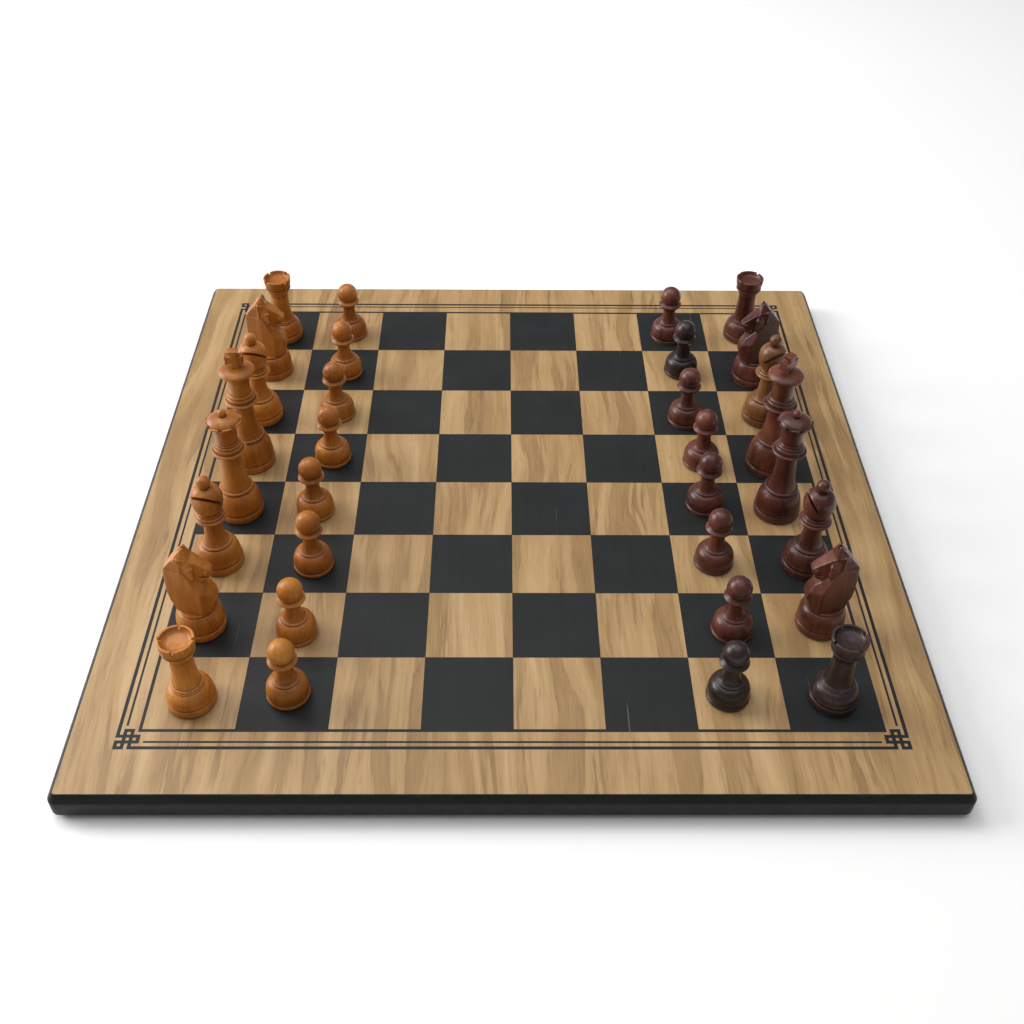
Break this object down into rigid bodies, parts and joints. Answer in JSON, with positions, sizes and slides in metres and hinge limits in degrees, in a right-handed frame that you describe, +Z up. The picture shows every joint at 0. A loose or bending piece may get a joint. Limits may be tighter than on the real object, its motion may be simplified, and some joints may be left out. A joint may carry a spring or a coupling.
{
  "type": "chess set with board",
  "caption": "Square board with a chequered veneer top, bordered by fine lines with folded corner ornaments, and two armies of turned wooden pieces standing on it.",
  "frame": {"origin": "under the middle of the board, on the plane it lies on", "axes": "+Z up, +X from the light army's side to the dark army's side, -Y toward the front edge, where a player of the picture's view stands"},
  "size_m": [0.4814, 0.4814, 0.1088],
  "materials": {
    "edge_paint": "satin black paint on the board's panel",
    "veneer": "satin lacquered light veneer, grain from front to rear",
    "print": "satin charcoal print",
    "baize": "short felt",
    "light_wood": "semi-gloss varnish, honey brown",
    "dark_wood": "semi-gloss varnish, dark reddish brown",
    "golden_wood": "semi-gloss varnish, golden brown",
    "piece_felt": "short grey-green felt"
  },
  "bodies": {
    "board": {"board_base_felt": "baize", "board_core": "edge_paint", "board_dark_squares": "print", "board_outer_line": "print", "board_veneer": "veneer"},
    "dark_bishop_front": {"dark_bishop_front": "dark_wood", "dark_bishop_front_felt": "piece_felt"},
    "dark_bishop_rear": {"dark_bishop_rear": "golden_wood", "dark_bishop_rear_felt": "piece_felt"},
    "dark_king": {"dark_king": "dark_wood", "dark_king_cross": "dark_wood", "dark_king_felt": "piece_felt"},
    "dark_knight_front": {"dark_knight_front": "dark_wood", "dark_knight_front_felt": "piece_felt", "dark_knight_front_head": "dark_wood"},
    "dark_knight_rear": {"dark_knight_rear": "dark_wood", "dark_knight_rear_felt": "piece_felt", "dark_knight_rear_head": "dark_wood"},
    "dark_pawn_1": {"dark_pawn_1": "dark_wood"},
    "dark_pawn_2": {"dark_pawn_2": "dark_wood"},
    "dark_pawn_3": {"dark_pawn_3": "dark_wood"},
    "dark_pawn_4": {"dark_pawn_4": "dark_wood"},
    "dark_pawn_5": {"dark_pawn_5": "dark_wood"},
    "dark_pawn_6": {"dark_pawn_6": "dark_wood"},
    "dark_pawn_7": {"dark_pawn_7": "dark_wood"},
    "dark_pawn_8": {"dark_pawn_8": "dark_wood"},
    "dark_queen": {"dark_queen": "dark_wood", "dark_queen_felt": "piece_felt"},
    "dark_rook_front": {"dark_rook_front": "dark_wood", "dark_rook_front_felt": "piece_felt"},
    "dark_rook_rear": {"dark_rook_rear": "dark_wood", "dark_rook_rear_felt": "piece_felt"},
    "light_bishop_front": {"light_bishop_front": "light_wood", "light_bishop_front_felt": "piece_felt"},
    "light_bishop_rear": {"light_bishop_rear": "light_wood", "light_bishop_rear_felt": "piece_felt"},
    "light_king": {"light_king": "light_wood", "light_king_cross": "light_wood", "light_king_felt": "piece_felt"},
    "light_knight_front": {"light_knight_front": "light_wood", "light_knight_front_felt": "piece_felt", "light_knight_front_head": "light_wood"},
    "light_knight_rear": {"light_knight_rear": "light_wood", "light_knight_rear_felt": "piece_felt", "light_knight_rear_head": "light_wood"},
    "light_pawn_1": {"light_pawn_1": "light_wood"},
    "light_pawn_2": {"light_pawn_2": "light_wood"},
    "light_pawn_3": {"light_pawn_3": "light_wood"},
    "light_pawn_4": {"light_pawn_4": "light_wood"},
    "light_pawn_5": {"light_pawn_5": "light_wood"},
    "light_pawn_6": {"light_pawn_6": "light_wood"},
    "light_pawn_7": {"light_pawn_7": "light_wood"},
    "light_pawn_8": {"light_pawn_8": "light_wood"},
    "light_queen": {"light_queen": "light_wood", "light_queen_felt": "piece_felt"},
    "light_rook_front": {"light_rook_front": "light_wood", "light_rook_front_felt": "piece_felt"},
    "light_rook_rear": {"light_rook_rear": "light_wood", "light_rook_rear_felt": "piece_felt"}
  },
  "joints": [
    {"name": "dark_bishop_front_lift", "type": "slide", "parent": "board", "child": "dark_bishop_front", "axis": [0, 0, 1], "range_m": [0, 0.12]},
    {"name": "dark_bishop_rear_lift", "type": "slide", "parent": "board", "child": "dark_bishop_rear", "axis": [0, 0, 1], "range_m": [0, 0.12]},
    {"name": "dark_king_lift", "type": "slide", "parent": "board", "child": "dark_king", "axis": [0, 0, 1], "range_m": [0, 0.12]},
    {"name": "dark_knight_front_lift", "type": "slide", "parent": "board", "child": "dark_knight_front", "axis": [0, 0, 1], "range_m": [0, 0.12]},
    {"name": "dark_knight_rear_lift", "type": "slide", "parent": "board", "child": "dark_knight_rear", "axis": [0, 0, 1], "range_m": [0, 0.12]},
    {"name": "dark_pawn_1_lift", "type": "slide", "parent": "board", "child": "dark_pawn_1", "axis": [0, 0, 1], "range_m": [0, 0.12]},
    {"name": "dark_pawn_2_lift", "type": "slide", "parent": "board", "child": "dark_pawn_2", "axis": [0, 0, 1], "range_m": [0, 0.12]},
    {"name": "dark_pawn_3_lift", "type": "slide", "parent": "board", "child": "dark_pawn_3", "axis": [0, 0, 1], "range_m": [0, 0.12]},
    {"name": "dark_pawn_4_lift", "type": "slide", "parent": "board", "child": "dark_pawn_4", "axis": [0, 0, 1], "range_m": [0, 0.12]},
    {"name": "dark_pawn_5_lift", "type": "slide", "parent": "board", "child": "dark_pawn_5", "axis": [0, 0, 1], "range_m": [0, 0.12]},
    {"name": "dark_pawn_6_lift", "type": "slide", "parent": "board", "child": "dark_pawn_6", "axis": [0, 0, 1], "range_m": [0, 0.12]},
    {"name": "dark_pawn_7_lift", "type": "slide", "parent": "board", "child": "dark_pawn_7", "axis": [0, 0, 1], "range_m": [0, 0.12]},
    {"name": "dark_pawn_8_lift", "type": "slide", "parent": "board", "child": "dark_pawn_8", "axis": [0, 0, 1], "range_m": [0, 0.12]},
    {"name": "dark_queen_lift", "type": "slide", "parent": "board", "child": "dark_queen", "axis": [0, 0, 1], "range_m": [0, 0.12]},
    {"name": "dark_rook_front_lift", "type": "slide", "parent": "board", "child": "dark_rook_front", "axis": [0, 0, 1], "range_m": [0, 0.12]},
    {"name": "dark_rook_rear_lift", "type": "slide", "parent": "board", "child": "dark_rook_rear", "axis": [0, 0, 1], "range_m": [0, 0.12]},
    {"name": "light_bishop_front_lift", "type": "slide", "parent": "board", "child": "light_bishop_front", "axis": [0, 0, 1], "range_m": [0, 0.12]},
    {"name": "light_bishop_rear_lift", "type": "slide", "parent": "board", "child": "light_bishop_rear", "axis": [0, 0, 1], "range_m": [0, 0.12]},
    {"name": "light_king_lift", "type": "slide", "parent": "board", "child": "light_king", "axis": [0, 0, 1], "range_m": [0, 0.12]},
    {"name": "light_knight_front_lift", "type": "slide", "parent": "board", "child": "light_knight_front", "axis": [0, 0, 1], "range_m": [0, 0.12]},
    {"name": "light_knight_rear_lift", "type": "slide", "parent": "board", "child": "light_knight_rear", "axis": [0, 0, 1], "range_m": [0, 0.12]},
    {"name": "light_pawn_1_lift", "type": "slide", "parent": "board", "child": "light_pawn_1", "axis": [0, 0, 1], "range_m": [0, 0.12]},
    {"name": "light_pawn_2_lift", "type": "slide", "parent": "board", "child": "light_pawn_2", "axis": [0, 0, 1], "range_m": [0, 0.12]},
    {"name": "light_pawn_3_lift", "type": "slide", "parent": "board", "child": "light_pawn_3", "axis": [0, 0, 1], "range_m": [0, 0.12]},
    {"name": "light_pawn_4_lift", "type": "slide", "parent": "board", "child": "light_pawn_4", "axis": [0, 0, 1], "range_m": [0, 0.12]},
    {"name": "light_pawn_5_lift", "type": "slide", "parent": "board", "child": "light_pawn_5", "axis": [0, 0, 1], "range_m": [0, 0.12]},
    {"name": "light_pawn_6_lift", "type": "slide", "parent": "board", "child": "light_pawn_6", "axis": [0, 0, 1], "range_m": [0, 0.12]},
    {"name": "light_pawn_7_lift", "type": "slide", "parent": "board", "child": "light_pawn_7", "axis": [0, 0, 1], "range_m": [0, 0.12]},
    {"name": "light_pawn_8_lift", "type": "slide", "parent": "board", "child": "light_pawn_8", "axis": [0, 0, 1], "range_m": [0, 0.12]},
    {"name": "light_queen_lift", "type": "slide", "parent": "board", "child": "light_queen", "axis": [0, 0, 1], "range_m": [0, 0.12]},
    {"name": "light_rook_front_lift", "type": "slide", "parent": "board", "child": "light_rook_front", "axis": [0, 0, 1], "range_m": [0, 0.12]},
    {"name": "light_rook_rear_lift", "type": "slide", "parent": "board", "child": "light_rook_rear", "axis": [0, 0, 1], "range_m": [0, 0.12]}
  ]
}
